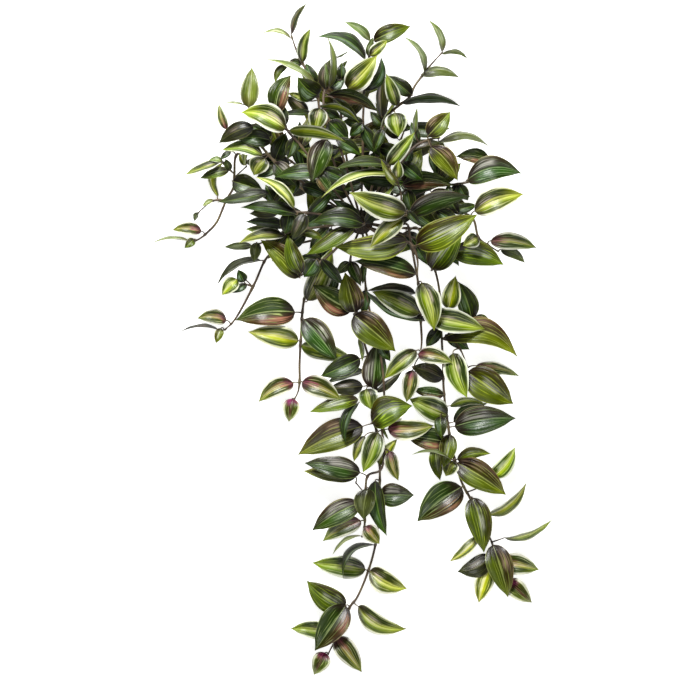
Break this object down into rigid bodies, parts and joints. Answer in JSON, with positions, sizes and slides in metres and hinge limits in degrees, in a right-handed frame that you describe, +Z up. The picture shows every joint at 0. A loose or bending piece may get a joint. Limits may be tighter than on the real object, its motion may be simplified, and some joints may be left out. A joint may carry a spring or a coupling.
{
  "type": "trailing tradescantia",
  "caption": "Leafy tradescantia with a bushy head and long trailing stems, cut at its base and laid flat, with folded, pointed, variegated leaves.",
  "frame": {"origin": "middle of the crown's flat underside, on the surface that the plant lies on", "axes": "+Z up from the surface, +Y towards the top of the plant, -Y the way its long stems trail"},
  "size_m": [0.449, 0.753, 0.1029],
  "materials": {
    "crown": "rough, fibrous brown stem base",
    "foliage": "waxy satin leaves striped dark green, lime and cream, with maroon undersides"
  },
  "bodies": {
    "root": {"crown": "crown", "stem_front_middle": "foliage", "stem_front_low": "foliage", "stem_right_far": "foliage", "stem_heart": "foliage", "stem_top_mid_left": "foliage", "stem_upper_left": "foliage", "stem_left_mid": "foliage", "stem_upper_right": "foliage", "stem_right_high": "foliage", "stem_left_low": "foliage", "stem_low_left": "foliage", "stem_top_middle": "foliage", "stem_left_high": "foliage", "stem_top_right": "foliage", "stem_top_left": "foliage", "stem_left_trail": "foliage", "stem_left_low_trail": "foliage", "stem_right_low": "foliage", "stem_below_middle": "foliage", "stem_below_right": "foliage", "stem_below_long": "foliage", "stem_below_side": "foliage", "stem_below_left": "foliage", "stem_back_top": "foliage", "stem_back_top_right": "foliage", "stem_back_right": "foliage", "stem_back_right_low": "foliage", "stem_back_left": "foliage", "stem_back_left_low": "foliage", "stem_back_below": "foliage"}
  },
  "joints": []
}
